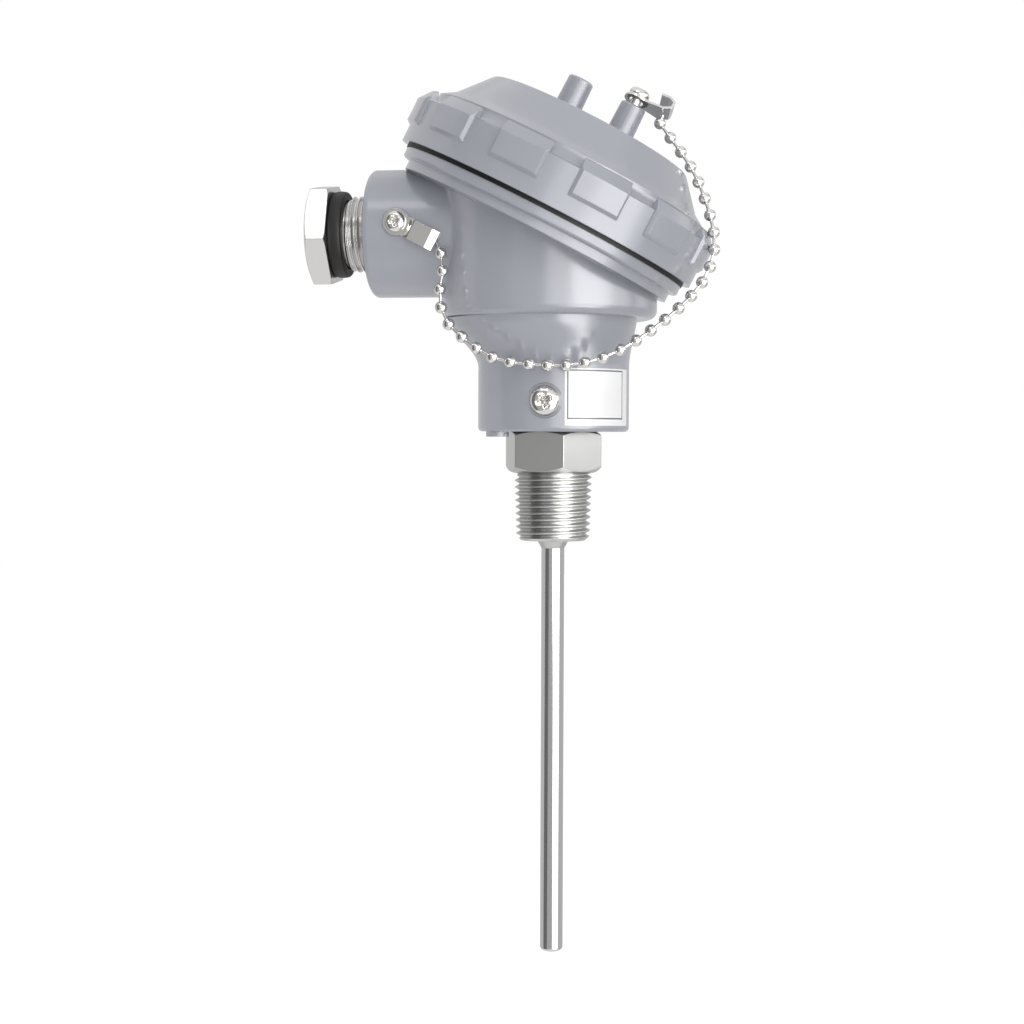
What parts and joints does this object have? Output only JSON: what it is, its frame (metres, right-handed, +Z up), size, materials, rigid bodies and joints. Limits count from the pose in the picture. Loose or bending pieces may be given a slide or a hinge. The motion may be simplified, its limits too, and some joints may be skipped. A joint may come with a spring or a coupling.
{
  "type": "resistance temperature probe with connection head",
  "caption": "Straight metal-sheathed temperature probe with a threaded process connection, a slanted cast connection head, a screw cap held by a ball chain, and a cable gland.",
  "frame": {"origin": "on the probe's axis, at the lower shoulder of the hexagon, where the process thread starts", "axes": "+Z up along the probe's axis from the tip towards the head, -X out of the cable entry, -Y the front with the chain and the neck screw"},
  "size_m": [0.1125, 0.0902, 0.2413],
  "materials": {
    "grey_enamel": "smooth glossy light blue-grey enamel on a cast aluminium body",
    "stainless": "satin stainless steel, turned and drawn",
    "nickel_plated": "bright nickel plating",
    "black_rubber": "matt black rubber",
    "white_ceramic": "opaque fired white ceramic",
    "brass": "machined brass",
    "sealing_resin": "hard black resin",
    "red_insulation": "smooth red wire insulation",
    "white_insulation": "smooth white wire insulation"
  },
  "bodies": {
    "head": {"head_body": "grey_enamel", "process_nipple": "stainless", "sheath": "stainless", "sensing_element": "white_ceramic", "conductors": "nickel_plated", "insulation_core": "white_ceramic", "sheath_seal": "sealing_resin", "lead_wires_red": "red_insulation", "lead_wire_white": "white_insulation", "terminal_block": "white_ceramic", "terminals": "brass", "terminal_screws": "nickel_plated", "block_screws": "nickel_plated", "grommet_washer": "stainless", "cable_grommet": "black_rubber", "neck_screw": "nickel_plated", "chain_screw_boss": "nickel_plated", "chain_tab_boss": "nickel_plated", "chain_beads": "nickel_plated", "chain_links": "nickel_plated"},
    "cap_seal": {"cap_gasket": "black_rubber"},
    "cap": {"cap": "grey_enamel", "chain_screw_cap": "nickel_plated", "chain_tab_cap": "nickel_plated"},
    "gland_seal": {"gland_ring": "black_rubber"},
    "gland": {"gland_screw": "nickel_plated"}
  },
  "joints": [
    {"name": "cap_lift", "type": "slide", "parent": "head", "child": "cap_seal", "axis": [0.4555, 0, 0.8902], "range_m": [0, 0.012], "deforming": ["chain_beads", "chain_links"]},
    {"name": "cap_turn", "type": "hinge", "parent": "cap_seal", "child": "cap", "pos_m": [-0.0026, 0, 0.07045], "axis": [0.4555, 0, 0.8902], "range_deg": [0, 1440]},
    {"name": "gland_travel", "type": "slide", "parent": "head", "child": "gland_seal", "axis": [-1, 0, 0], "range_m": [-0.0064, 0.0046]},
    {"name": "gland_turn", "type": "hinge", "parent": "gland_seal", "child": "gland", "pos_m": [-0.0503, 0, 0.0663], "axis": [-1, 0, 0], "range_deg": [-1260, 900]}
  ],
  "couplings": [
    {"joint": "cap_lift", "follows": "cap_turn", "m_per_rad": 0.00047746},
    {"joint": "gland_travel", "follows": "gland_turn", "m_per_rad": 0.00028875}
  ]
}
